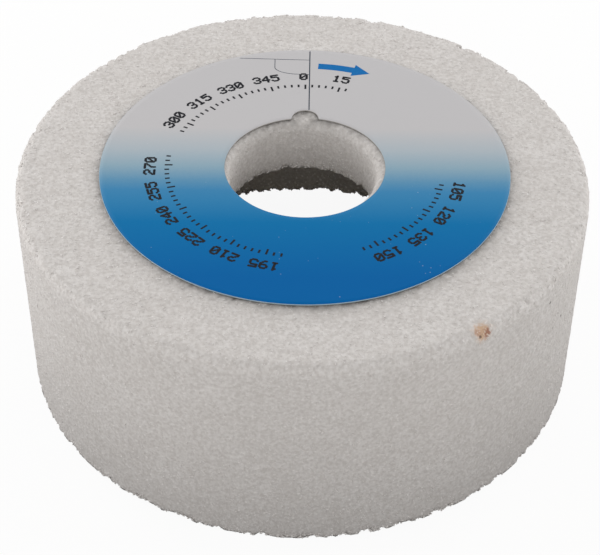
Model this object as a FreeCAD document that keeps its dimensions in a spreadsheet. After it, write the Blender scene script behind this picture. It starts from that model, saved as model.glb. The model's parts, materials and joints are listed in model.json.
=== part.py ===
# Straight cup grinding wheel: a pressed and fired abrasive cup, with a round
# paper label glued to its back.
#
# The wheel stands on its grinding rim, as it is stored, with its open side
# down and the label on top. +Z runs along the spindle axis towards the back,
# and the origin is where that axis meets the plane of the rim. All lengths
# are in millimetres.

import FreeCAD, Part
import Sketcher
import os
from enum import IntEnum

# Each size by name, with its value and what it measures
SIZES = {
    "wheel_diameter": (125.0, "outside of the cup"),
    "wheel_height": (50.0, "from the grinding rim to the back face"),
    "rim_width": (8.0, "width of the grinding rim, and the thickness of the cup's wall"),
    "back_thickness": (13.0, "thickness of the back"),
    "bore_diameter": (32.0, "hole for the spindle"),
    "back_corner_radius": (2.5, "rounding of the back's outer edge"),
    "recess_corner_radius": (6.0, "rounding inside the cup, between its wall and its floor"),
    "bore_corner_radius": (2.5, "rounding of the bore's edge in the back"),
    "bore_end_break": (0.5, "chamfer at the bore's other end, inside the cup"),
    "label_diameter": (89.5, "outside of the paper label"),
    "label_thickness": (0.3, "paper and glue together"),
    "label_bore_margin": (1.5, "how far the label's hole stands back from the bore, over the rounding"),
    "label_notch_radius": (3.0, "half-round notch in the label's hole, at its twelve o'clock"),
    "label_offset_x": (0.5, "how far to the right of the axis the label is stuck"),
    "label_offset_y": (0.3, "how far towards its twelve o'clock the label is stuck"),
}
SUB_PARTS = ("abrasive_cup", "paper_label")
SAME_LENGTH = 1e-4


class Point(IntEnum):
    """Which point of a line or a circle a constraint holds, as a sketch counts them."""

    START = 1
    END = 2
    CENTRE = 3


class Axis(IntEnum):
    """A sketch's own axes, as a sketch counts them."""

    ACROSS = -1
    UP = -2


ORIGIN = (Axis.ACROSS, Point.START)


def make_sheet(doc):
    """The spreadsheet of sizes: name, value and meaning in each row."""
    sheet = doc.addObject("Spreadsheet::Sheet", "sizes")
    for row, (name, (value, meaning)) in enumerate(SIZES.items(), start=1):
        sheet.set(f"A{row}", name)
        sheet.set(f"B{row}", str(value))
        sheet.set(f"C{row}", meaning)
        sheet.setAlias(f"B{row}", name)
    doc.recompute()
    return sheet


def origin_feature(body, role):
    """The plane or axis of a body's own origin that has this role."""
    return next(feature for feature in body.Origin.OriginFeatures if feature.Role == role)


def make_body(doc, label):
    body = doc.addObject("PartDesign::Body", label)
    body.Label = label
    return body


def make_sketch(body, name, plane):
    """An empty sketch on one of the body's own origin planes."""
    sketch = body.newObject("Sketcher::SketchObject", name)
    sketch.AttachmentSupport = [(origin_feature(body, plane), "")]
    sketch.MapMode = "FlatFace"
    return sketch


def constrain(sketch, kind, *what):
    return sketch.addConstraint(Sketcher.Constraint(kind, *what))


def dimension(sketch, name, kind, *what, size):
    """A named dimension of a sketch, bound to a formula of the sheet's sizes."""
    index = constrain(sketch, kind, *what, float(sketch.evalExpression(size)))
    sketch.renameConstraint(index, name)
    sketch.setExpression(f"Constraints.{name}", size)


def add_polygon(sketch, corners):
    """A closed outline of straight lines through these (x, y) corners, in order."""
    points = [FreeCAD.Vector(x, y, 0) for x, y in corners]
    following = points[1:] + points[:1]
    lines = sketch.addGeometry([Part.LineSegment(a, b) for a, b in zip(points, following)])
    for line, next_line in zip(lines, lines[1:] + lines[:1]):
        constrain(sketch, "Coincident", line, Point.END, next_line, Point.START)
    return lines


def add_circle(sketch, x, y, radius):
    return sketch.addGeometry(Part.Circle(FreeCAD.Vector(x, y, 0), FreeCAD.Vector(0, 0, 1), radius))


def ring_edges(shape, radius, height):
    """Names of the circular edges round the spindle axis with this radius and height."""
    found = []
    for number, edge in enumerate(shape.Edges, start=1):
        if not isinstance(edge.Curve, Part.Circle):
            continue
        off_radius = abs(edge.Curve.Radius - radius)
        off_height = abs(edge.Curve.Center.z - height)
        if max(off_radius, off_height) < SAME_LENGTH:
            found.append(f"Edge{number}")
    return found


def dress_edges(body, kind, name, edges, **size):
    """A Fillet or Chamfer on these edges of the body's last feature."""
    base = body.Tip
    feature = body.newObject(f"PartDesign::{kind}", name)
    feature.Base = (base, edges)
    for measure, formula in size.items():
        feature.setExpression(measure, formula)
    body.Document.recompute()


def make_cup(doc, sheet):
    """The abrasive cup: half of its section is turned about the spindle, then its edges are eased.

    The outline runs round the material, up the bore, out across the back,
    down the outside, in along the rim, up the inside of the cup and in along
    its floor.
    """
    bore = sheet.bore_diameter / 2
    outside = sheet.wheel_diameter / 2
    inside = outside - sheet.rim_width
    height = sheet.wheel_height
    floor = height - sheet.back_thickness

    body = make_body(doc, "abrasive_cup")
    section = make_sketch(body, "cup_section", "XZ_Plane")
    corners = [(bore, floor), (bore, height), (outside, height), (outside, 0), (inside, 0), (inside, floor)]
    bore_side, back_side, outer_side, rim_side, inner_side, floor_side = add_polygon(section, corners)
    for side in (bore_side, outer_side, inner_side):
        constrain(section, "Vertical", side)
    for side in (back_side, rim_side, floor_side):
        constrain(section, "Horizontal", side)
    constrain(section, "PointOnObject", rim_side, Point.START, Axis.ACROSS)
    for name, kind, first, second, formula in (
        ("bore_radius", "DistanceX", ORIGIN, (bore_side, Point.START), "sizes.bore_diameter / 2"),
        ("outer_radius", "DistanceX", ORIGIN, (rim_side, Point.START), "sizes.wheel_diameter / 2"),
        ("height", "DistanceY", ORIGIN, (back_side, Point.END), "sizes.wheel_height"),
        ("rim_width", "DistanceX", (rim_side, Point.END), (rim_side, Point.START), "sizes.rim_width"),
        ("back", "DistanceY", (bore_side, Point.START), (bore_side, Point.END), "sizes.back_thickness"),
    ):
        dimension(section, name, kind, *first, *second, size=formula)

    turned = body.newObject("PartDesign::Revolution", "turned_section")
    turned.Profile = section
    turned.ReferenceAxis = (origin_feature(body, "Z_Axis"), [""])
    turned.Angle = 360
    doc.recompute()

    corner = ring_edges(body.Tip.Shape, outside, height)
    dress_edges(body, "Fillet", "back_corner", corner, Radius="sizes.back_corner_radius")
    corner = ring_edges(body.Tip.Shape, inside, floor)
    dress_edges(body, "Fillet", "recess_corner", corner, Radius="sizes.recess_corner_radius")
    corner = ring_edges(body.Tip.Shape, bore, height)
    dress_edges(body, "Fillet", "bore_corner", corner, Radius="sizes.bore_corner_radius")
    corner = ring_edges(body.Tip.Shape, bore, floor)
    dress_edges(body, "Chamfer", "bore_end", corner, Size="sizes.bore_end_break")


def make_label(doc, sheet):
    """The paper label: a thin ring whose hole has a half-round notch, glued to the back.

    The printer's die cuts the hole and the outside together, so both share a
    centre, and the label as a whole is stuck a little off the wheel's axis.
    The edge of its hole reaches out over the rounding of the bore.
    """
    outside = sheet.label_diameter / 2
    hole = sheet.bore_diameter / 2 + sheet.label_bore_margin
    hole_formula = "sizes.bore_diameter / 2 + sizes.label_bore_margin"

    body = make_body(doc, "paper_label")
    ring = make_sketch(body, "label_ring", "XY_Plane")
    for name, radius, formula in (
        ("outer_radius", outside, "sizes.label_diameter / 2"),
        ("hole_radius", hole, hole_formula),
    ):
        circle = add_circle(ring, 0, 0, radius)
        constrain(ring, "Coincident", circle, Point.CENTRE, *ORIGIN)
        dimension(ring, name, "Radius", circle, size=formula)
    paper = body.newObject("PartDesign::Pad", "paper")
    paper.Profile = ring
    paper.setExpression("Length", "sizes.label_thickness")
    doc.recompute()
    whole_ring = paper.Shape.Volume

    notch = make_sketch(body, "notch_circle", "XY_Plane")
    circle = add_circle(notch, 0, hole, sheet.label_notch_radius)
    constrain(notch, "PointOnObject", circle, Point.CENTRE, Axis.UP)
    dimension(notch, "hole_radius", "DistanceY", *ORIGIN, circle, Point.CENTRE, size=hole_formula)
    dimension(notch, "notch_radius", "Radius", circle, size="sizes.label_notch_radius")
    cut = body.newObject("PartDesign::Pocket", "notch")
    cut.Profile = notch
    cut.Type = "ThroughAll"
    cut.Reversed = True
    doc.recompute()
    if cut.Shape.Volume >= whole_ring:
        raise RuntimeError("the notch removed no paper")

    body.setExpression("Placement.Base.x", "sizes.label_offset_x")
    body.setExpression("Placement.Base.y", "sizes.label_offset_y")
    body.setExpression("Placement.Base.z", "sizes.wheel_height")


def write_parts(doc):
    """One STEP file for each sub-part, once every object in the document is sound."""
    for item in doc.Objects:
        if {"Invalid", "Error"} & set(item.State):
            raise RuntimeError(f"{item.Name} failed: {item.State}")
    shapes = {label: doc.getObjectsByLabel(label)[0].Shape for label in SUB_PARTS}
    for label, shape in shapes.items():
        if shape.isNull() or not shape.isValid() or len(shape.Solids) != 1:
            raise RuntimeError(f"{label} is not one valid solid")
    os.makedirs("parts", exist_ok=True)
    for label, shape in shapes.items():
        shape.exportStep(os.path.join("parts", f"{label}.step"))
        print(f"{label}: {shape.Volume / 1000:.2f} cm3, {len(shape.Faces)} faces")


def main():
    doc = FreeCAD.newDocument("cup_grinding_wheel")
    sheet = make_sheet(doc)
    make_cup(doc, sheet)
    make_label(doc, sheet)
    doc.recompute()
    write_parts(doc)


main()
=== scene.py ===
# Cup grinding wheel: the pressed and fired abrasive cup with its open grain,
# the paper label on its back with its plain print, and a studio round them.
# Lengths are in millimetres until a mesh is made. The frame is the CAD's own:
# +Z runs up the spindle axis, and the grinding rim stands on the floor at zero.

import itertools
import json

import bpy
import numpy as np
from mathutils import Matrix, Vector


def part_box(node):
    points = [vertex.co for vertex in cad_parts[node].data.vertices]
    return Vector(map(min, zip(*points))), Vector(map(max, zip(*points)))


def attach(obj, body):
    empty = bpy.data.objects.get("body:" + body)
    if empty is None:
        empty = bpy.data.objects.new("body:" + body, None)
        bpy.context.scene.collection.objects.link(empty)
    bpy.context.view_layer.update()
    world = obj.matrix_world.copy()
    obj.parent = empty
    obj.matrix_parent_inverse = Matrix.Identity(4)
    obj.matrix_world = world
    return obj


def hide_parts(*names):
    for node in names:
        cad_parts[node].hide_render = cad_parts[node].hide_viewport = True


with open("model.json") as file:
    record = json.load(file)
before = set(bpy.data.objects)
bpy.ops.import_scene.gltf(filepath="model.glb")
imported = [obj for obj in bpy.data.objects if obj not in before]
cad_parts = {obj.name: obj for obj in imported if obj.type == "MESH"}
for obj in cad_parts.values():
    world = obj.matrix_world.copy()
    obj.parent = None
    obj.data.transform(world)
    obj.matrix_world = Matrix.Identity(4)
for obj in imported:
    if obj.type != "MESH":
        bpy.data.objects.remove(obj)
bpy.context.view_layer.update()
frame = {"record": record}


# Abrasive cup
# One body of white fused alumina grain, about 46 grit, pressed in a mould with
# a glassy bond and fired. Its skin is open: packed grain with pores between.

MM = 0.001

mounts = {mount["name"]: mount for mount in frame["record"]["mounts"]}
bore = mounts["arbor_bore"]
cup_low, cup_high = (np.array(corner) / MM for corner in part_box("abrasive_cup"))
WHEEL_RADIUS = (cup_high[0] - cup_low[0]) / 2
WHEEL_HEIGHT = cup_high[2]
BORE_RADIUS = bore["dims"]["r_mm"]
BORE_LENGTH = bore["dims"]["length_mm"]
BORE_MIDDLE = bore["pos_m"][2] / MM
RECESS_FLOOR = mounts["recess_seat"]["pos_m"][2] / MM
RECESS_RADIUS = 2 * mounts["grinding_rim"]["pos_m"][0] / MM - WHEEL_RADIUS
BACK_CORNER_RADIUS = 2.5
RECESS_CORNER_RADIUS = 6.0
BORE_EDGE_RADIUS = WHEEL_HEIGHT - (BORE_MIDDLE + BORE_LENGTH / 2)
BORE_END_BREAK = BORE_MIDDLE - BORE_LENGTH / 2 - RECESS_FLOOR

# The label's place counts here too, because the skin is left coarse under it, and a shadow is painted on the
# skin along the label's edges
label_low, label_high = (np.array(corner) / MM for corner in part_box("paper_label"))
LABEL_CENTRE = (label_low[:2] + label_high[:2]) / 2
LABEL_RADIUS = (label_high[0] - label_low[0]) / 2
LABEL_BORE_MARGIN = 1.5
LABEL_HOLE_RADIUS = BORE_RADIUS + LABEL_BORE_MARGIN
NOTCH_RADIUS = 3.0

# Steps between the skin's points along the section, and how many points there are round the wheel
SKIN_STEP = 0.75
BORE_EDGE_STEP = 0.5
BORE_END_STEP = 0.4
HIDDEN_STEP = 1.25
UNDER_LABEL_STEP = 3.5
SKIN_COLUMNS = 508
# How far in under the label the skin is still as fine as outside it
UNDER_LABEL_MARGIN = 1


def straight(start, end, step):
    """Points (r, z) from start up to but not at end, evenly spaced at about this step."""
    start, end = np.array(start, float), np.array(end, float)
    count = max(1, round(np.linalg.norm(end - start) / step))
    return start + (end - start) * (np.arange(count) / count)[:, None]


def rounded(centre, radius, start, end, step):
    """Points (r, z) on an arc: centre + radius (cos a, sin a), with a from start up to but not at end."""
    count = max(1, round(abs(np.radians(end - start)) * radius / step))
    turn = np.radians(start + (end - start) * np.arange(count) / count)
    return np.array(centre) + radius * np.column_stack([np.cos(turn), np.sin(turn)])


corner, hollow = BACK_CORNER_RADIUS, RECESS_CORNER_RADIUS
edge, chamfer = BORE_EDGE_RADIUS, BORE_END_BREAK
label_reach = LABEL_RADIUS - UNDER_LABEL_MARGIN
bare_reach = LABEL_HOLE_RADIUS + NOTCH_RADIUS + UNDER_LABEL_MARGIN
cup_section = {
    "wall": straight((WHEEL_RADIUS, 0), (WHEEL_RADIUS, WHEEL_HEIGHT - corner), SKIN_STEP),
    "back_corner": rounded((WHEEL_RADIUS - corner, WHEEL_HEIGHT - corner), corner, 0, 90, SKIN_STEP),
    "back": straight((WHEEL_RADIUS - corner, WHEEL_HEIGHT), (label_reach, WHEEL_HEIGHT), SKIN_STEP),
    "under_label": straight((label_reach, WHEEL_HEIGHT), (bare_reach, WHEEL_HEIGHT), UNDER_LABEL_STEP),
    "bare_ring": straight((bare_reach, WHEEL_HEIGHT), (BORE_RADIUS + edge, WHEEL_HEIGHT), BORE_EDGE_STEP),
    "bore_edge": rounded((BORE_RADIUS + edge, WHEEL_HEIGHT - edge), edge, 90, 180, BORE_EDGE_STEP),
    "bore": straight((BORE_RADIUS, WHEEL_HEIGHT - edge), (BORE_RADIUS, RECESS_FLOOR + chamfer), SKIN_STEP),
    "bore_end": straight(
        (BORE_RADIUS, RECESS_FLOOR + chamfer), (BORE_RADIUS + chamfer, RECESS_FLOOR), BORE_END_STEP
    ),
    "recess_floor": straight(
        (BORE_RADIUS + chamfer, RECESS_FLOOR), (RECESS_RADIUS - hollow, RECESS_FLOOR), HIDDEN_STEP
    ),
    "recess_corner": rounded((RECESS_RADIUS - hollow, RECESS_FLOOR - hollow), hollow, 90, 0, HIDDEN_STEP),
    "recess_wall": straight((RECESS_RADIUS, RECESS_FLOOR - hollow), (RECESS_RADIUS, 0), HIDDEN_STEP),
    "rim": straight((RECESS_RADIUS, 0), (WHEEL_RADIUS, 0), SKIN_STEP),
}


def right_of(way):
    """Unit vectors at right angles to these ways (a, b), on their right: (b, -a) over its length."""
    across = np.column_stack([way[:, 1], -way[:, 0]])
    return across / np.linalg.norm(across, axis=1)[:, None]


def turned(radius, height, angle):
    """Points (r cos a, r sin a, z) for arrays of radius r, height z and angle a that broadcast together."""
    return np.stack(np.broadcast_arrays(radius * np.cos(angle), radius * np.sin(angle), height), axis=-1)


NOISE_VALUES = 4096
# Large primes, which scatter the three numbers of a lattice's corner over those values
LATTICE_PRIMES = (73856093, 19349663, 83492791)
# Each use of the noise has its own random values
PACKING_SEED, WAVE_SEED, PORE_SEED, CRUMB_SEED, PAPER_SEED, PATCH_SEED = range(1, 7)


def lattice_noise(points, cell, seed):
    """Smooth noise from 0 to 1: a random value at each corner of a cubic lattice, blended between the
    eight corners round each point by the product of 3 t^2 - 2 t^3 along each axis."""
    table = np.random.default_rng(seed).random(NOISE_VALUES)
    low = np.floor(points / cell).astype(np.int64)
    part = points / cell - low
    blend = part**2 * (3 - 2 * part)
    total = np.zeros(points.shape[:-1])
    for step in itertools.product((0, 1), repeat=3):
        at = (low + step) * LATTICE_PRIMES
        value = table[(at[..., 0] ^ at[..., 1] ^ at[..., 2]) % NOISE_VALUES]
        total += value * np.prod(np.where(step, blend, 1 - blend), axis=-1)
    return total


def into_hole(points):
    """How far in mm a point lies inside the label's hole, and inside its notch: each one's radius less the
    distance from its centre, so that both are negative under the label."""
    x, y = np.moveaxis(points[..., :2] - LABEL_CENTRE, -1, 0)
    return LABEL_HOLE_RADIUS - np.hypot(x, y), NOTCH_RADIUS - np.hypot(x, y - LABEL_HOLE_RADIUS)


def highest_share(noise, share):
    """How far noise is into its highest share: 0 where that begins, or below it, and 1 at its top."""
    return np.clip((noise - (1 - share)) / share, 0, 1)


# The skin's unevenness: cells of its noise, depths and reaches in mm, and shares
PACKING_CELL, PACKING_DEPTH = 1.3, 0.16
WAVE_CELL, WAVE_DEPTH = 4.5, 0.16
PORE_CELL, PORE_DEPTH, PORE_SHARE = 1.6, 0.20, 0.30
WALL_SMOOTHNESS = 0.45
CRUMB_CELL, CRUMB_SHARE = 1.1, 0.55
EDGE_CRUMBS, EDGE_CRUMB_REACH = 1.7, 1.6
BACK_CRUMBS, BACK_CRUMB_REACH, BACK_STANDS_OUT = 2.2, 2.6, 0.2
NEAR_SHARE = 0.25
GLUE_SHARE, GLUE_REACH, GLUE_UNDER_LABEL = 0.8, 0.8, LABEL_HOLE_RADIUS / 3
# The sharp edges, as (r, z): the rim's outer and inner one, and the bore's end inside the cup
SHARP_EDGES = ((WHEEL_RADIUS, 0), (RECESS_RADIUS, 0), (BORE_RADIUS, RECESS_FLOOR))


def skin_depth(points):
    """How far in mm the fired skin lies under the mould's surface. Depths times lattice noise are added
    up: the grain's packing, a slow wave, and the pores, where their noise is in its highest share. All
    three are less below the back, and less again where glue fills them, round the edge of the label's
    hole. Crumbs, by a highest share again, are lost within a reach of each edge. The back's outer edge is
    broken by hand, so it stands out between its crumbs, and it has lost most at +Y and a share of that
    at -Y, going as the sine of the angle."""
    packing = PACKING_DEPTH * lattice_noise(points, PACKING_CELL, PACKING_SEED)
    wave = WAVE_DEPTH * lattice_noise(points, WAVE_CELL, WAVE_SEED)
    pore = highest_share(lattice_noise(points, PORE_CELL, PORE_SEED), PORE_SHARE)
    radius, height = np.hypot(points[..., 0], points[..., 1]), points[..., 2]
    below = np.clip((WHEEL_HEIGHT - height) / BACK_CORNER_RADIUS, 0, 1)
    to_ring, to_notch = into_hole(points)
    glued = np.clip(1 - np.maximum(to_ring, to_notch) / GLUE_REACH, 0, 1) * (to_ring > -GLUE_UNDER_LABEL)
    filled = (1 - WALL_SMOOTHNESS * below) * (1 - GLUE_SHARE * glued)
    from_edge = np.min([np.hypot(radius - r, height - z) for r, z in SHARP_EDGES], axis=0)
    at_edge = np.clip(1 - from_edge / EDGE_CRUMB_REACH, 0, 1)
    from_corner = np.hypot(WHEEL_RADIUS - radius, WHEEL_HEIGHT - height)
    worn = (1 + NEAR_SHARE + (1 - NEAR_SHARE) * points[..., 1] / radius) / 2
    at_back = worn * np.clip(1 - from_corner / BACK_CRUMB_REACH, 0, 1)
    lost = highest_share(lattice_noise(points, CRUMB_CELL, CRUMB_SEED), CRUMB_SHARE)
    crumbs = EDGE_CRUMBS * at_edge * lost + BACK_CRUMBS * at_back * (lost - BACK_STANDS_OUT)
    return (packing + wave + PORE_DEPTH * pore) * filled + crumbs


# A shadow painted on the skin along the label's edges: its reach and drop in mm, its strongest share outside
# the label, round its hole and in its notch, the angle of the side where each is strongest, and the cell and
# range of its patchy noise
PAINTED_SHADOW_REACH, PAINTED_SHADOW_DROP = 1.7, 3
OUTER_PAINTED_SHADOW, HOLE_PAINTED_SHADOW, NOTCH_PAINTED_SHADOW = 0.56, 0.46, 0.66
OUTER_SHADOW_SIDE, HOLE_SHADOW_SIDE = np.radians(270), np.radians(80)
PATCH_CELL, PATCH_LEAST, PATCH_SPREAD = 0.8, 0.2, 1.6


def grime(points):
    """Share of light that a shadow painted along the label's edges takes, for points in mm. It is
    A (1 + cos(angle - side)) / 2 exp(-d / reach), with d the distance out from the label's outside, or
    in from its hole and notch, whichever is near. Lattice noise makes it patchy, and it ends a drop
    below the back."""
    x, y = np.moveaxis(points[..., :2] - LABEL_CENTRE, -1, 0)
    angle, radius = np.arctan2(y, x), np.hypot(x, y)
    to_ring, to_notch = into_hole(points)
    to_hole = np.maximum(to_ring, to_notch)
    outside = radius > (LABEL_HOLE_RADIUS + LABEL_RADIUS) / 2
    distance = np.maximum(np.where(outside, radius - LABEL_RADIUS, to_hole), 0)
    side = np.where(outside, OUTER_SHADOW_SIDE, HOLE_SHADOW_SIDE)
    most = np.where(outside, OUTER_PAINTED_SHADOW, np.where(to_notch > to_ring, NOTCH_PAINTED_SHADOW, HOLE_PAINTED_SHADOW))
    most *= (1 + np.cos(angle - side)) / 2
    patchy = PATCH_LEAST + PATCH_SPREAD * lattice_noise(points, PATCH_CELL, PATCH_SEED)
    on_back = np.clip(1 - (WHEEL_HEIGHT - points[..., 2]) / PAINTED_SHADOW_DROP, 0, 1)
    return most * np.exp(-distance / PAINTED_SHADOW_REACH) * patchy * on_back


def add_mesh(name, corners, *faces):
    """A mesh object from an array of corners in mm and arrays of faces, whose rows are corner numbers."""
    mesh = bpy.data.meshes.new(name)
    mesh.vertices.add(len(corners))
    mesh.vertices.foreach_set("co", (corners * MM).ravel())
    numbers = np.concatenate([group.ravel() for group in faces])
    sides = np.concatenate([np.full(len(group), group.shape[1]) for group in faces])
    mesh.loops.add(len(numbers))
    mesh.loops.foreach_set("vertex_index", numbers)
    mesh.polygons.add(len(sides))
    mesh.polygons.foreach_set("loop_start", np.cumsum(sides) - sides)
    mesh.update(calc_edges=True)
    piece = bpy.data.objects.new(name, mesh)
    bpy.context.scene.collection.objects.link(piece)
    return piece


def ring_faces(rows, columns):
    """Faces of a surface closed both ways: corner i, j is number i columns + j, and each face joins
    (i, j), (i, j + 1), (i + 1, j + 1) and (i + 1, j), counted round past the last row and column."""
    i, j = (part.ravel() for part in np.mgrid[:rows, :columns])
    this_row, next_row = i * columns, (i + 1) % rows * columns
    after_j = (j + 1) % columns
    return np.column_stack([this_row + j, this_row + after_j, next_row + after_j, next_row + j])


def ring_map(rows, columns):
    """Places on the map of the corners that ring_faces gives: corner i, j is at (j / columns, i / rows),
    and the last row and column run on to 1."""
    i, j = (part.ravel() for part in np.mgrid[:rows, :columns])
    across = np.column_stack([j, j + 1, j + 1, j]) / columns
    along = np.column_stack([i, i, i + 1, i + 1]) / rows
    return np.stack([across, along], axis=-1)


def add_painted_shadow(piece, points):
    """Gives the piece's corners, at these points in mm, the shadow painted along the label's edges as an
    attribute for its material.
    """
    layer = piece.data.attributes.new("grime", "FLOAT", "POINT")
    layer.data.foreach_set("value", grime(points).ravel())


def add_map(piece, places):
    """The piece's own map, from an array (faces, corners of a face, 2) of places from 0 to 1."""
    layer = piece.data.uv_layers.new(name="OFBake")
    layer.uv.foreach_set("vector", places.ravel())


COLUMN_STRAY = 0.25
GRIT_DEPTH = 0.08
section = np.concatenate(list(cup_section.values()))
# A point's normal is at right angles to the chord from the point before it to the one after
normals = right_of(np.roll(section, -1, axis=0) - np.roll(section, 1, axis=0))
rows = len(section)
# The generator of every random draw, seeded so that each run gives the same wheel
WHEEL_SEED = 46
draws = np.random.default_rng(WHEEL_SEED)
column = np.arange(SKIN_COLUMNS) + draws.uniform(-COLUMN_STRAY, COLUMN_STRAY, (rows, SKIN_COLUMNS))
angle = 2 * np.pi * column / SKIN_COLUMNS
nominal = turned(section[:, :1], section[:, 1:], angle)
outward = turned(normals[:, :1], normals[:, 1:], angle)
depth = skin_depth(nominal) + draws.uniform(0, GRIT_DEPTH, (rows, SKIN_COLUMNS))
abrasive_body = add_mesh(
    "abrasive_body",
    (nominal - outward * depth[..., None]).reshape(-1, 3),
    ring_faces(rows, SKIN_COLUMNS),
)
abrasive_body.data.shade_smooth()
# The skin's corners carry the shadow painted along the label's edges
add_painted_shadow(abrasive_body, nominal)
add_map(abrasive_body, ring_map(rows, SKIN_COLUMNS))


def linear(code):
    """A colour written as sRGB hex, as linear red, green, blue and alpha: each part c becomes c / 12.92
    up to 0.04045 and ((c + 0.055) / 1.055) ^ 2.4 above."""
    srgb = np.array([int(code[i : i + 2], 16) for i in (1, 3, 5)]) / 255
    return (*np.where(srgb <= 0.04045, srgb / 12.92, ((srgb + 0.055) / 1.055) ** 2.4), 1.0)


def add_node(tree, kind, inputs=None, **settings):
    """Adds a node, sets its own settings, and gives each named or numbered input a value or a link."""
    made = tree.nodes.new(kind)
    for name, value in settings.items():
        setattr(made, name, value)
    for socket, value in (inputs or {}).items():
        if isinstance(value, bpy.types.NodeSocket):
            tree.links.new(value, made.inputs[socket])
        else:
            made.inputs[socket].default_value = value
    return made


def new_material(name):
    """An empty material with only its output, and its node tree."""
    made = bpy.data.materials.new(name)
    made.use_nodes = True
    made.node_tree.nodes.clear()
    output = add_node(made.node_tree, "ShaderNodeOutputMaterial")
    return made, made.node_tree, output


def per_metre(size):
    """The scale of a texture, whose coordinates are in metres, for features of this size in mm."""
    return 1 / (size * MM)


# The colour of the shadow painted along the label's edges
PAINTED_SHADOW_COLOUR = "#2B2722"
# Rust and dirt on the skin: middle, reach and width of the soft edge in mm, strongest share, the level of
# noise below which it has gaps, and colour. The first five are one stain, from its halo to its darkest
# spot, and the last two are specks on the wall.
MARKS = (
    ((35.8, -50.6, 49.1), 2.9, 2.0, 0.50, 0.0, "#CCB09A"),
    ((35.7, -50.4, 49.1), 2.0, 1.2, 0.75, 0.34, "#C49F7C"),
    ((34.8, -51.0, 49.2), 1.0, 0.7, 0.50, 0.42, "#A98272"),
    ((36.8, -50.3, 48.5), 1.3, 0.7, 0.75, 0.38, "#8A5746"),
    ((35.2, -51.4, 48.5), 0.42, 0.2, 0.75, 0.0, "#5A463B"),
    ((51.1, -35.9, 43.5), 0.42, 0.1, 0.85, 0.0, "#4A443E"),
    ((54.8, -30.0, 34.4), 0.40, 0.1, 0.85, 0.0, "#4A443E"),
)
# How far a mark's edge strays, as a share of that edge's width, and how soft its gaps are
MARK_STRAY, GAP_EDGE = 1.6, 0.08


def marked(tree, place, colour):
    """The skin's colour with a shadow painted along the label's edges, and the marks that the photo shows:
    a stain of rust on the back corner with a halo and darker spots, and two dark specks on the wall. A
    mark's ragged edge is a distance from its middle plus noise, and finer noise leaves gaps in it."""
    # A shadow painted along the label's edges darkens the skin's colour
    shadowed = add_node(tree, "ShaderNodeAttribute", attribute_name="grime")
    colour = add_node(
        tree, "ShaderNodeMix", {0: shadowed.outputs["Fac"], 6: colour, 7: linear(PAINTED_SHADOW_COLOUR)}, data_type="RGBA"
    ).outputs[2]
    ragged = add_node(tree, "ShaderNodeTexNoise", {"Vector": place, "Scale": per_metre(0.7), "Detail": 2})
    gaps = add_node(tree, "ShaderNodeTexNoise", {"Vector": place, "Scale": per_metre(0.5), "Detail": 1})
    for centre, reach, edge, most, clear, code in MARKS:
        middle = tuple(value * MM for value in centre)
        away = add_node(tree, "ShaderNodeVectorMath", {0: place, 1: middle}, operation="DISTANCE")
        stray = add_node(
            tree,
            "ShaderNodeMath",
            {0: ragged.outputs["Fac"], 1: MARK_STRAY * edge * MM, 2: away.outputs["Value"]},
            operation="MULTIPLY_ADD",
        )
        inside = add_node(
            tree,
            "ShaderNodeMapRange",
            {
                "Value": stray.outputs[0],
                "From Min": (reach + MARK_STRAY / 2 * edge) * MM,
                "From Max": reach * MM,
                "To Min": 0.0,
                "To Max": most,
            },
        )
        covered = add_node(
            tree,
            "ShaderNodeMapRange",
            {"Value": gaps.outputs["Fac"], "From Min": clear, "From Max": clear + GAP_EDGE},
        )
        share = add_node(
            tree, "ShaderNodeMath", {0: inside.outputs[0], 1: covered.outputs[0]}, operation="MULTIPLY"
        )
        mixed = add_node(
            tree, "ShaderNodeMix", {0: share.outputs[0], 6: colour, 7: linear(code)}, data_type="RGBA"
        )
        colour = mixed.outputs[2]
    return colour


def mottled(tree, place):
    """Off-white that changes from grain to grain: noise of about a drawn grain's size, its middle range
    spread out, picks a tone between a clear crystal's and a dull one's."""
    batch = add_node(tree, "ShaderNodeTexNoise", {"Vector": place, "Scale": per_metre(0.75), "Detail": 1})
    clear = add_node(
        tree, "ShaderNodeMapRange", {"Value": batch.outputs["Fac"], "From Min": 0.32, "From Max": 0.68}
    )
    tone = add_node(
        tree,
        "ShaderNodeMix",
        {0: clear.outputs[0], 6: linear("#D4D0CD"), 7: linear("#C1BCB8")},
        data_type="RGBA",
    )
    return tone.outputs[2]


# Glassy bond over fired grain: matt and chalky, off-white, with slow clouds where the mix was fired harder
fired_bond, tree, output = new_material("fired_vitrified_bond")
place = add_node(tree, "ShaderNodeTexCoord").outputs["Object"]
cloud = add_node(tree, "ShaderNodeTexNoise", {"Vector": place, "Scale": per_metre(9.0), "Detail": 2})
fired = add_node(
    tree,
    "ShaderNodeMapRange",
    {"Value": cloud.outputs["Fac"], "From Min": 0.3, "From Max": 0.7, "To Max": 0.25},
)
skin = add_node(
    tree,
    "ShaderNodeMix",
    {0: fired.outputs[0], 6: mottled(tree, place), 7: linear("#BCB6B1")},
    data_type="RGBA",
)
fine = add_node(tree, "ShaderNodeTexNoise", {"Vector": place, "Scale": per_metre(0.45), "Detail": 3})
grit = add_node(
    tree, "ShaderNodeBump", {"Strength": 0.4, "Distance": 0.12 * MM, "Height": fine.outputs["Fac"]}
)
# The skin's colour carries the shadow painted along the label's edges, besides the rust stain and the specks
shader = add_node(
    tree,
    "ShaderNodeBsdfPrincipled",
    {
        "Base Color": marked(tree, place, skin.outputs[2]),
        "Roughness": 0.85,
        "IOR": 1.5,
        "Normal": grit.outputs[0],
    },
)
tree.links.new(shader.outputs[0], output.inputs["Surface"])
abrasive_body.data.materials.append(fired_bond)
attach(abrasive_body, "root")
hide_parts("abrasive_cup")


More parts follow.
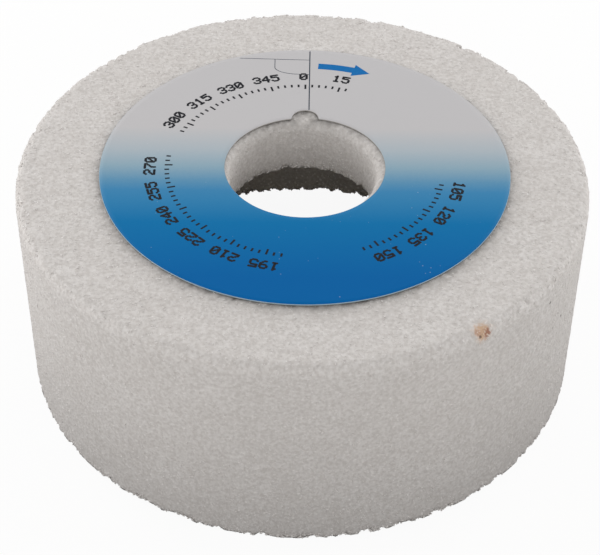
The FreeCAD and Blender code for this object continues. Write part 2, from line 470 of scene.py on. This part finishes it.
# Grains in the cup's skin
# Crushed crystals of fused alumina, 0.4 mm across, which is too fine to show
# here. So they are drawn 0.7 to 0.8 mm across, and each is sunk in the bond
# with only a tip of it standing out of the skin.

# Least and most of what each grain draws: its corners' reach as a share of its half width, how much of
# its height it stands out, and how far it strays from its even place, as a share of the step along the
# section and in mm round the wheel
CORNER_SHARES = 0.6, 1.35
HEIGHT_SHARES = 0.2, 1.0
STRAY_SHARES = 0.2, 0.8
STRAY_ROUND = 0.6
# A few grains stand proud of the rest, and more do where the skin is broken deeper than this
PROUD_SHARE, PROUD_BY = 0.015, 0.20
BROKEN_SHARE, BROKEN_DEPTH = 0.9, 0.3
GOLDEN_TURN = np.pi * (3 - 5**0.5)
# The box of the cup's mesh is a little narrower along Y, and grain keeps within that on every side
MOULD_RADIUS = (cup_high - cup_low)[:2].min() / 2
# A grain has six corners on its three axes, and the eight faces between them
GRAIN_AXES = np.array([[1, 0, 0], [0, 1, 0], [-1, 0, 0], [0, -1, 0], [0, 0, 1], [0, 0, -1]], float)
GRAIN_FACES = np.array(
    [[0, 1, 4], [1, 2, 4], [2, 3, 4], [3, 0, 4], [1, 0, 5], [2, 1, 5], [3, 2, 5], [0, 3, 5]]
)
GRAIN_CORNERS = len(GRAIN_AXES)
# On the map, the four corners round a grain's middle are a square's, and the other two share its centre
GRAIN_MAP = np.array([[0.1, 0.1], [0.9, 0.1], [0.9, 0.9], [0.1, 0.9], [0.5, 0.5], [0.5, 0.5]])


def spread_over(names, count, low, high):
    """Centres and normals of about even places on these stretches of the section: the share of area
    passed, which grows as r ds, gives each its place along, and the golden turn its angle. Only the
    shares from low to high are used, so that one surface can be two pieces."""
    chosen = np.isin(np.repeat(list(cup_section), [len(part) for part in cup_section.values()]), names)
    start = np.flatnonzero(chosen)
    end = (start + 1) % len(section)
    length = np.linalg.norm(section[end] - section[start], axis=1)
    area = np.cumsum(length * (section[start, 0] + section[end, 0]) / 2)
    number = np.arange(count)
    share = low + (high - low) * (number + draws.uniform(*STRAY_SHARES, count)) / count
    passed = np.interp(share * area[-1], np.append(0, area), np.arange(len(area) + 1))
    stretch = np.minimum(passed.astype(int), len(start) - 1)
    part = (passed - stretch)[:, None]
    at = section[start[stretch]] * (1 - part) + section[end[stretch]] * part
    normal = right_of(section[end[stretch]] - section[start[stretch]])
    angle = number * GOLDEN_TURN + draws.uniform(0, STRAY_ROUND, count) / at[:, 0]
    return turned(at[:, 0], at[:, 1], angle), turned(normal[:, 0], normal[:, 1], angle)


def random_turns(count):
    """Rotation matrices, one for each grain, from random unit quaternions (w, x, y, z)."""
    quaternion = draws.normal(size=(4, count))
    w, x, y, z = quaternion / np.linalg.norm(quaternion, axis=0)
    return np.array(
        [
            [1 - 2 * (y * y + z * z), 2 * (x * y - w * z), 2 * (x * z + w * y)],
            [2 * (x * y + w * z), 1 - 2 * (x * x + z * z), 2 * (y * z - w * x)],
            [2 * (x * z - w * y), 2 * (y * z + w * x), 1 - 2 * (x * x + y * y)],
        ]
    ).transpose(2, 0, 1)


# Fused alumina: hard glass-clear crystal, white in the mass, with facets that catch the light
fused_alumina, tree, output = new_material("fused_alumina_grain")
place = add_node(tree, "ShaderNodeTexCoord").outputs["Object"]
# The grains' colour carries the same painted shadow along the label's edges, and the same rust and specks
shader = add_node(
    tree,
    "ShaderNodeBsdfPrincipled",
    {"Base Color": marked(tree, place, mottled(tree, place)), "Roughness": 0.6, "IOR": 1.76},
)
tree.links.new(shader.outputs[0], output.inputs["Surface"])

# Each surface's count, first and last share of its area, and its grains' half width and height above
# the skin, both in mm
for name, surface, count, low, high, half_width, height in (
    ("wall_grains_lower", ["wall"], 23000, 0.0, 0.5, 0.34, 0.055),
    ("wall_grains_upper", ["wall"], 23000, 0.5, 1.0, 0.34, 0.055),
    ("back_grains", ["back_corner", "back"], 13000, 0.0, 1.0, 0.42, 0.08),
    ("bore_grains", ["bare_ring", "bore_edge", "bore", "bore_end"], 4500, 0.0, 1.0, 0.38, 0.07),
    ("recess_grains", ["recess_floor", "recess_corner", "recess_wall"], 14000, 0.0, 1.0, 0.38, 0.16),
    ("rim_grains", ["rim"], 6000, 0.0, 1.0, 0.38, 0.12),
):
    nominal, outward = spread_over(surface, count, low, high)
    reach = half_width * draws.uniform(*CORNER_SHARES, (count, GRAIN_CORNERS))
    shape = GRAIN_AXES * reach[..., None]
    shape = np.einsum("nij,nkj->nki", random_turns(count), shape)
    top = np.einsum("nki,ni->nk", shape, outward).max(axis=1)
    stands_out = height * draws.uniform(*HEIGHT_SHARES, count)
    stands_out += PROUD_BY * (draws.random(count) < PROUD_SHARE)
    # In a pore or where a crumb is lost the skin is broken, and grains stand out of it further
    depth = skin_depth(nominal)
    stands_out += BROKEN_SHARE * draws.random(count) * np.maximum(depth - BROKEN_DEPTH, 0)
    depth -= stands_out
    centre = nominal - outward * (depth + top)[:, None]
    corners = (centre[:, None] + shape).reshape(-1, 3)
    # Grain that would pass the mould's wall, its floor or the bore's pin is flattened against it
    radius = np.hypot(corners[:, 0], corners[:, 1])
    corners[:, :2] *= (np.clip(radius, BORE_RADIUS, MOULD_RADIUS) / radius)[:, None]
    corners[:, 2] = np.clip(corners[:, 2], 0, WHEEL_HEIGHT)
    faces = GRAIN_FACES + GRAIN_CORNERS * np.arange(count)[:, None, None]
    grains = add_mesh(name, corners, faces.reshape(-1, 3))
    grains.data.shade_flat()
    # Grains near the label carry the shadow painted along its edges
    add_painted_shadow(grains, corners)
    cells = int(np.ceil(count**0.5))
    cell = np.column_stack(np.divmod(np.arange(count), cells))
    add_map(grains, (GRAIN_MAP[GRAIN_FACES] + cell[:, None, None]) / cells)
    grains.data.materials.append(fused_alumina)
    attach(grains, "root")
    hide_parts("abrasive_cup")


# Paper label
# A die-cut ring of coated paper glued to the back, which is also the cushion
# under the spindle's flange. Print runs from light grey to deep blue across it.

LABEL_COLUMNS, FACE_ROWS = 600, 26
EDGE_ROUNDING = 0.06
RIPPLE_CELL, LABEL_RIPPLE = 2.6, 0.012
INK_THICKNESS = 0.02
# The face lies low enough for its ripple and the ink on it to stay within the label's real thickness
SPARE_THICKNESS = 0.005
LABEL_BOTTOM = label_low[2]
LABEL_TOP = label_high[2] - INK_THICKNESS - LABEL_RIPPLE - SPARE_THICKNESS


def hole_radius(turn):
    """The hole's radius at this angle from twelve o'clock: that of the hole, or in the notch the far side
    of a circle about (0, h) of radius n, which is h cos t + sqrt(n^2 - h^2 sin^2 t)."""
    across = LABEL_HOLE_RADIUS * np.sin(turn)
    inside = (np.abs(across) < NOTCH_RADIUS) & (np.cos(turn) > 0)
    notch = LABEL_HOLE_RADIUS * np.cos(turn) + np.sqrt(np.maximum(NOTCH_RADIUS**2 - across**2, 0))
    return np.where(inside, np.maximum(notch, LABEL_HOLE_RADIUS), LABEL_HOLE_RADIUS)


def paper_height(x, y):
    """Height of the label's face: its top plus a faint ripple where it follows the grain under it."""
    points = np.stack(np.broadcast_arrays(x, y, 0.0), axis=-1)
    return LABEL_TOP + LABEL_RIPPLE * (2 * lattice_noise(points, RIPPLE_CELL, PAPER_SEED) - 1)


# The ring's section as (share of the way out, lift from 0 at the glue to 1 at the face)
ease = EDGE_ROUNDING / (LABEL_RADIUS - LABEL_HOLE_RADIUS)
lip = EDGE_ROUNDING / (LABEL_TOP - LABEL_BOTTOM)
face = np.linspace(1 - ease, ease, FACE_ROWS)
share = np.concatenate([[1, 1], face, [0, 0, 0.5]])
lift = np.concatenate([[0, 1 - lip], np.ones(len(face)), [1 - lip, 0, 0]])
turn = 2 * np.pi * np.arange(LABEL_COLUMNS) / LABEL_COLUMNS
inner = hole_radius(turn)
radius = inner + share[:, None] * (LABEL_RADIUS - inner)
x = LABEL_CENTRE[0] - radius * np.sin(turn)
y = LABEL_CENTRE[1] + radius * np.cos(turn)
z = LABEL_BOTTOM + lift[:, None] * (paper_height(x, y) - LABEL_BOTTOM)
printed_label = add_mesh(
    "printed_label",
    np.stack([x, y, z], axis=-1).reshape(-1, 3),
    ring_faces(len(share), LABEL_COLUMNS),
)
printed_label.data.shade_smooth()


def tones_along(tree, distance, tones):
    """The colour at a distance in metres, between tones that are written as (distance in mm, sRGB hex):
    a ramp over the share (distance - first) / (last - first)."""
    first, last = tones[0][0], tones[-1][0]
    share = add_node(
        tree, "ShaderNodeMapRange", {"Value": distance, "From Min": first * MM, "From Max": last * MM}
    )
    ramp = add_node(tree, "ShaderNodeValToRGB", {"Fac": share.outputs[0]})
    stops = ramp.color_ramp.elements
    for at, code in tones[1:-1]:
        stops.new((at - first) / (last - first))
    for stop, (at, code) in zip(stops, tones):
        stop.position = (at - first) / (last - first)
        stop.color = linear(code)
    return ramp.outputs["Color"]


# The blend's colour at each height on the label in mm, from the deep blue at its lower edge
BLEND = (
    (-36, "#005E9E"),
    (-19, "#096DA4"),
    (-12, "#307BAA"),
    (-8.4, "#3C80AC"),
    (-5, "#5B8DAD"),
    (0, "#88A3B2"),
    (6, "#A7B1B8"),
    (14, "#BCBABB"),
)
BLEND_STRAY = 0.6

# Coated paper, offset printed: a satin face whose ink thins out from blue to bare grey
printed_paper, tree, output = new_material("offset_printed_coated_paper")
place = add_node(tree, "ShaderNodeTexCoord").outputs["Object"]
height = add_node(tree, "ShaderNodeSeparateXYZ", {"Vector": place})
screen = add_node(tree, "ShaderNodeTexNoise", {"Vector": place, "Scale": per_metre(0.5), "Detail": 2})
stray = add_node(
    tree,
    "ShaderNodeMapRange",
    {"Value": screen.outputs["Fac"], "To Min": -BLEND_STRAY * MM, "To Max": BLEND_STRAY * MM},
)
strayed = add_node(tree, "ShaderNodeMath", {0: height.outputs["Y"], 1: stray.outputs[0]}, operation="ADD")
blend = tones_along(tree, strayed.outputs[0], BLEND)
# Specks of white dust from the wheel lie on the print in drifts, each up to about 0.3 mm across
drift = add_node(tree, "ShaderNodeTexNoise", {"Vector": place, "Scale": per_metre(11.0), "Detail": 1})
drifted = add_node(
    tree,
    "ShaderNodeMapRange",
    {"Value": drift.outputs["Fac"], "From Min": 0.48, "From Max": 0.62, "To Min": 0.02, "To Max": 0.10},
)
scatter = add_node(tree, "ShaderNodeTexVoronoi", {"Vector": place, "Scale": per_metre(1.7)})
dusty = add_node(
    tree,
    "ShaderNodeMapRange",
    {
        "Value": scatter.outputs["Distance"],
        "From Min": drifted.outputs[0],
        "From Max": 0.02,
        "To Min": 0.0,
        "To Max": 0.5,
    },
)
dusted = add_node(
    tree, "ShaderNodeMix", {0: dusty.outputs[0], 6: blend, 7: linear("#C9CDD0")}, data_type="RGBA"
)
fibre = add_node(tree, "ShaderNodeTexNoise", {"Vector": place, "Scale": per_metre(0.8), "Detail": 3})
laid = add_node(
    tree, "ShaderNodeBump", {"Strength": 0.15, "Distance": 0.02 * MM, "Height": fibre.outputs["Fac"]}
)
shader = add_node(
    tree,
    "ShaderNodeBsdfPrincipled",
    {
        "Base Color": dusted.outputs[2],
        "Roughness": 0.45,
        "IOR": 1.5,
        "Specular IOR Level": 0.07,
        "Normal": laid.outputs[0],
    },
)
tree.links.new(shader.outputs[0], output.inputs["Surface"])


def two_toned(name, size, first, second, surface):
    """A material whose colour wanders between two sRGB tones by noise of this size in mm."""
    made, tree, output = new_material(name)
    place = add_node(tree, "ShaderNodeTexCoord").outputs["Object"]
    patch = add_node(tree, "ShaderNodeTexNoise", {"Vector": place, "Scale": per_metre(size), "Detail": 2})
    tone = add_node(
        tree,
        "ShaderNodeMix",
        {0: patch.outputs["Fac"], 6: linear(first), 7: linear(second)},
        data_type="RGBA",
    )
    inputs = {"Base Color": tone.outputs[2], "IOR": 1.5, **surface}
    shader = add_node(tree, "ShaderNodeBsdfPrincipled", inputs)
    tree.links.new(shader.outputs[0], output.inputs["Surface"])
    return made


# The paper's cut edge outside: pale pulp that the blue has soaked into, matt
cut_paper = two_toned("cut_paper_edge", 0.6, "#A9BAC3", "#8FA3AE", {"Roughness": 0.9})
# The hole's cut edge: the same pulp, greyer and darker than the outer one
grey_hole_edge_paper = two_toned("dusty_cut_paper_edge", 0.6, "#A29E99", "#8C8883", {"Roughness": 0.9})
for material in (printed_paper, cut_paper, grey_hole_edge_paper):
    printed_label.data.materials.append(material)
PRINTED, CUT, HOLE_EDGE = range(3)
# Of the ring's rows of faces, the first two are its outer edge, then come the face and the hole's edge
row = np.arange(len(share))
material_of_row = np.select([row < 2, row < 1 + FACE_ROWS], [CUT, PRINTED], HOLE_EDGE)
printed_label.data.polygons.foreach_set("material_index", np.repeat(material_of_row, LABEL_COLUMNS))
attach(printed_label, "root")
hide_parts("paper_label")


# Print on the label
# A plain dial of degrees round the label in black dots, as a label printer
# sets them, with thin drawn lines and an arrow for the turning direction.

# Each digit that the dial needs as the printer's dots, seven rows of five from its top
DIGITS = {
    "0": "01110 10001 10011 10101 11001 10001 01110",
    "1": "00100 01100 00100 00100 00100 00100 01110",
    "2": "01110 10001 00001 00110 01000 10000 11111",
    "3": "01110 10001 00001 00110 00001 10001 01110",
    "4": "00010 00110 01010 10010 11111 00010 00010",
    "5": "11111 10000 11110 00001 00001 10001 01110",
    "7": "11111 00001 00010 00100 01000 01000 01000",
    "9": "01110 10001 10001 01111 00001 00010 01100",
}
MIDDLE_COLUMN, MIDDLE_ROW = 2, 3
DOT_PITCH, DOT_RADIUS, DOT_SIDES = 0.36, 0.31, 8
# From one digit to the next, in dots
DIGIT_STEP = 6
NUMBER_RADIUS = 33.8
# Each number is printed a little to the left of its mark, so that the 0 stands clear of the drawn line
NUMBER_SHIFT = -0.45
TICK_RADIUS, TICK_HALF_WIDTH = 30.6, 0.22
TICK_LENGTH, NUMBERED_TICK_LENGTH = 1.0, 1.7
# The stretches that the dial covers, and the steps between its ticks and its numbers, all in degrees
STRETCHES = ((294, 378), (102, 156), (189, 276))
TICK_STEP, NUMBER_STEP = 3, 15


def ink_shapes(name, outlines, material):
    """Closed flat shapes of ink on the paper: each outline, an array of (x, y) on the label from its own
    centre, anticlockwise, becomes a face, its twin just inside the paper, and the sides between."""
    corners, faces, first = [], [], 0
    for outline in outlines:
        count = len(outline)
        x, y = (outline + LABEL_CENTRE).T
        paper = paper_height(x, y)
        corners.append(np.column_stack([x, y, paper + INK_THICKNESS]))
        corners.append(np.column_stack([x, y, paper - INK_THICKNESS]))
        number = np.arange(count)
        after = (number + 1) % count
        faces.append(first + number[None])
        faces.append(first + count + number[None, ::-1])
        faces.append(first + np.column_stack([number, number + count, after + count, after]))
        first += 2 * count
    piece = add_mesh(name, np.concatenate(corners), *faces)
    piece.data.shade_flat()
    piece.data.materials.append(material)
    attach(piece, "root")
    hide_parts("paper_label")


def on_dial(points, degrees):
    """Places on the label of points (across, out) about a dial's radius: turned clockwise by the degrees
    from twelve o'clock."""
    turn = np.radians(degrees)
    across, out = np.asarray(points, float).T
    x = across * np.cos(turn) + out * np.sin(turn)
    y = out * np.cos(turn) - across * np.sin(turn)
    return np.column_stack([x, y])


def digit_dots(digit, across, degrees):
    """Dots of one digit, whose middle lies this far across from the dial's mark: small many-sided rounds
    at each lit place of its pattern."""
    lit = np.array([[int(dot) for dot in row] for row in DIGITS[digit].split()], bool)
    row, column = np.nonzero(lit)
    to_right = across + (column - MIDDLE_COLUMN) * DOT_PITCH
    centres = np.column_stack([to_right, NUMBER_RADIUS + (MIDDLE_ROW - row) * DOT_PITCH])
    rim = np.radians(360 / DOT_SIDES * (np.arange(DOT_SIDES) + 0.5))
    round_dot = DOT_RADIUS * np.column_stack([np.cos(rim), np.sin(rim)])
    return [on_dial(centre + round_dot, degrees) for centre in centres]


# Black printer's ink, thin and dull, a little grey where it is starved
printer_ink = two_toned(
    "black_printer_ink", 0.7, "#08090D", "#1C1F27", {"Roughness": 0.6, "Specular IOR Level": 0.2}
)

black_shapes = []
for first, last in STRETCHES:
    for degrees in range(first, last + 1, TICK_STEP):
        numbered = degrees % NUMBER_STEP == 0
        length = NUMBERED_TICK_LENGTH if numbered else TICK_LENGTH
        half, inner = TICK_HALF_WIDTH, TICK_RADIUS - length
        tick = [(-half, inner), (half, inner), (half, TICK_RADIUS), (-half, TICK_RADIUS)]
        black_shapes.append(on_dial(tick, degrees))
        digits = str(degrees % 360) if numbered else ""
        for order, digit in enumerate(digits):
            across = NUMBER_SHIFT + (order - (len(digits) - 1) / 2) * DIGIT_STEP * DOT_PITCH
            black_shapes += digit_dots(digit, across, degrees)
ink_shapes("dial_numbers", black_shapes, printer_ink)


def drawn_line(points, width):
    """The outline of a line of this width through a row of points: out along one side at half its width
    from each point, and back along the other."""
    points = np.asarray(points, float)
    side = right_of(np.gradient(points, axis=0)) * width / 2
    return np.concatenate([points + side, (points - side)[::-1]])


# Offset ink like the blend's, laid on thin: dull, and so dark a blue in fine lines that it looks grey
LITTLE_GLOSS = {"Roughness": 0.45, "Specular IOR Level": 0.07}
line_ink = two_toned("blue_offset_ink", 0.8, "#2A333E", "#3F4A58", LITTLE_GLOSS)

LINE_WIDTH, THIN_LINE_WIDTH = 0.24, 0.144
# A line out from the notch, a thin one across it to the left, and a thin frame below that one, whose
# lower left corner is a stretch of an ellipse
NOTCH_LINE = ((0.85, 20.7), (1.04, 44.2))
CROSS_LINE = ((-15.5, 41.15), (0.9, 40.6))
FRAME_START, FRAME_END = (-7.2, 40.86), (0.9, 34.7)
BEND_MIDDLE, BEND_REACH = (-1.4, 37.6), (5.8, 2.8)
BEND_FROM, BEND_TO, BEND_STEPS = 180, 262, 16
bend = np.radians(np.linspace(BEND_FROM, BEND_TO, BEND_STEPS))
frame_bend = BEND_MIDDLE + BEND_REACH * np.column_stack([np.cos(bend), np.sin(bend)])
ink_shapes(
    "drawn_lines",
    [
        drawn_line(NOTCH_LINE, LINE_WIDTH),
        drawn_line(CROSS_LINE, THIN_LINE_WIDTH),
        drawn_line([FRAME_START, *frame_bend, FRAME_END], THIN_LINE_WIDTH),
    ],
    line_ink,
)

# Solid blue, the blend's own deep colour
solid_blue = two_toned("solid_blue_offset_ink", 0.8, "#0A62A4", "#1A6EAC", LITTLE_GLOSS)

ARROW_RADIUS = 38.2
ARROW_START, ARROW_NECK, ARROW_TIP = 4.5, 17.0, 23.0
ARROW_HALF_WIDTH, ARROW_HEAD_HALF_WIDTH = 1.1, 2.3
ARROW_STEPS = 14
# The arrow bends round the wheel: out along its shaft, round its head and back, as angles and offsets
shaft = np.linspace(ARROW_START, ARROW_NECK, ARROW_STEPS)
side = np.full(ARROW_STEPS, ARROW_HALF_WIDTH)
turn = np.radians(np.concatenate([shaft, [ARROW_NECK, ARROW_TIP, ARROW_NECK], shaft[::-1]]))
offset = np.concatenate([side, [ARROW_HEAD_HALF_WIDTH, 0, -ARROW_HEAD_HALF_WIDTH], -side])
arrow = (ARROW_RADIUS + offset)[:, None] * np.column_stack([np.sin(turn), np.cos(turn)])
ink_shapes("turning_arrow", [arrow[::-1]], solid_blue)


# Studio
# A pale floor under the wheel, a pale sky of soft light all round, five weak
# soft boxes round it, and the camera where the photo was taken.

FLOOR_RADIUS, FLOOR_SIDES = 6000.0, 96
# How far below the rim it lies, so that the two faces don't flicker, and how much of what the camera sees
# of it is plain white, with the rest its own shaded tone
FLOOR_DROP = 0.02
SEEN_WHITE = 0.93
# What the floor throws back at each distance from the axis in mm: warm within the cup, then dull, then pale
FLOOR_TONES = ((0, "#D8CAA2"), (52, "#D8CAA2"), (58, "#4A4948"), (100, "#4A4948"), (120, "#E2E1E0"))
turn = 2 * np.pi * np.arange(FLOOR_SIDES) / FLOOR_SIDES
rim = turned(np.full(FLOOR_SIDES, FLOOR_RADIUS), -FLOOR_DROP, turn)
floor = add_mesh("studio_floor", rim, np.arange(FLOOR_SIDES)[None])
# Matt paper sweep: the camera sees it as nearly white, and it keeps the wheel's shadow. Just round the
# wheel it throws little light back, as a dull turntable does, so the wall darkens downwards.
paper_sweep, tree, output = new_material("white_paper_sweep")
rays = add_node(tree, "ShaderNodeLightPath").outputs
seen = rays["Is Camera Ray"]
for kind in ("Is Glossy Ray", "Is Transmission Ray"):
    seen = add_node(tree, "ShaderNodeMath", {0: seen, 1: rays[kind]}, operation="MAXIMUM").outputs[0]
share = add_node(tree, "ShaderNodeMath", {0: seen, 1: SEEN_WHITE}, operation="MULTIPLY")
place = add_node(tree, "ShaderNodeTexCoord").outputs["Object"]
mottle = add_node(tree, "ShaderNodeTexNoise", {"Vector": place, "Scale": per_metre(60.0), "Detail": 2})
tone = add_node(
    tree,
    "ShaderNodeMix",
    {0: mottle.outputs["Fac"], 6: linear("#E4E3E1"), 7: linear("#E0DFDE")},
    data_type="RGBA",
)
away = add_node(tree, "ShaderNodeVectorMath", {0: place}, operation="LENGTH")
thrown_back = tones_along(tree, away.outputs["Value"], FLOOR_TONES)
under = add_node(tree, "ShaderNodeMix", {0: seen, 6: thrown_back, 7: tone.outputs[2]}, data_type="RGBA")
matt = add_node(tree, "ShaderNodeBsdfDiffuse", {"Color": under.outputs[2]})
bright = add_node(tree, "ShaderNodeEmission", {"Color": (1, 1, 1, 1), "Strength": 1.0})
mixed = add_node(
    tree, "ShaderNodeMixShader", {0: share.outputs[0], 1: matt.outputs[0], 2: bright.outputs[0]}
)
tree.links.new(mixed.outputs[0], output.inputs["Surface"])
floor.data.materials.append(paper_sweep)

# The sky lights the wheel at this strength, and the camera sees it as white
SKY_STRENGTH = 0.583
world = bpy.data.worlds.new("studio_sky")
world.use_nodes = True
tree = world.node_tree
tree.nodes.clear()
bpy.context.scene.world = world
rays = add_node(tree, "ShaderNodeLightPath")
level = add_node(
    tree,
    "ShaderNodeMapRange",
    {"Value": rays.outputs["Is Camera Ray"], "To Min": SKY_STRENGTH, "To Max": 1.0},
)
sky = add_node(tree, "ShaderNodeBackground", {"Color": (1, 1, 1, 1), "Strength": level.outputs[0]})
add_node(tree, "ShaderNodeOutputWorld", {"Surface": sky.outputs[0]})


def aim(lamp, place, target):
    """Puts a lamp at a place in mm and turns it to a target in mm."""
    place, target = Vector(place) * MM, Vector(target) * MM
    lamp.location = place
    lamp.rotation_euler = (target - place).to_track_quat("-Z", "Y").to_euler()


WHEEL_MIDDLE = (0, 0, WHEEL_HEIGHT / 2)
# Each soft box's place and diameter in mm, and its power in watts
for name, place, size, power in (
    ("soft_box_left", (-380, -40, 130), 260, 0.41),
    ("soft_box_right", (380, -40, 130), 260, 0.246),
    ("soft_box_front", (0, -420, 230), 300, 0.418),
    ("soft_box_behind_left", (-330, 300, 230), 260, 0.896),
    ("soft_box_behind_right", (330, 300, 230), 260, 0.896),
):
    lamp = bpy.data.lights.new(name, "AREA")
    lamp.shape = "DISK"
    lamp.size = size * MM
    lamp.energy = power
    soft_box = bpy.data.objects.new(name, lamp)
    bpy.context.scene.collection.objects.link(soft_box)
    aim(soft_box, place, WHEEL_MIDDLE)

# The camera's stand, from the photo, in mm and radians: how far it is from its target, how high and how
# turned, and its lens. How far it sees is in metres, and takes in the whole floor.
CAMERA_DISTANCE = 392.54
CAMERA_RISE = np.radians(41.678)
CAMERA_ROLL = np.radians(0.505)
CAMERA_TARGET = (-0.355, 0.0, 17.941)
FOCAL_LENGTH, SENSOR_WIDTH = 102.06, 36.0
VIEW_REACH = 50
lens = bpy.data.cameras.new("photo_camera")
lens.lens = FOCAL_LENGTH
lens.sensor_width = SENSOR_WIDTH
lens.clip_end = VIEW_REACH
camera = bpy.data.objects.new("photo_camera", lens)
bpy.context.scene.collection.objects.link(camera)
back = CAMERA_DISTANCE * np.array([0, -np.cos(CAMERA_RISE), np.sin(CAMERA_RISE)])
camera.location = Vector(np.array(CAMERA_TARGET) + back) * MM
camera.rotation_mode = "XYZ"
camera.rotation_euler = (np.pi / 2 - CAMERA_RISE, 0, 0)
camera.rotation_euler.rotate_axis("Z", CAMERA_ROLL)
bpy.context.scene.camera = camera
bpy.context.scene.view_settings.view_transform = "Standard"
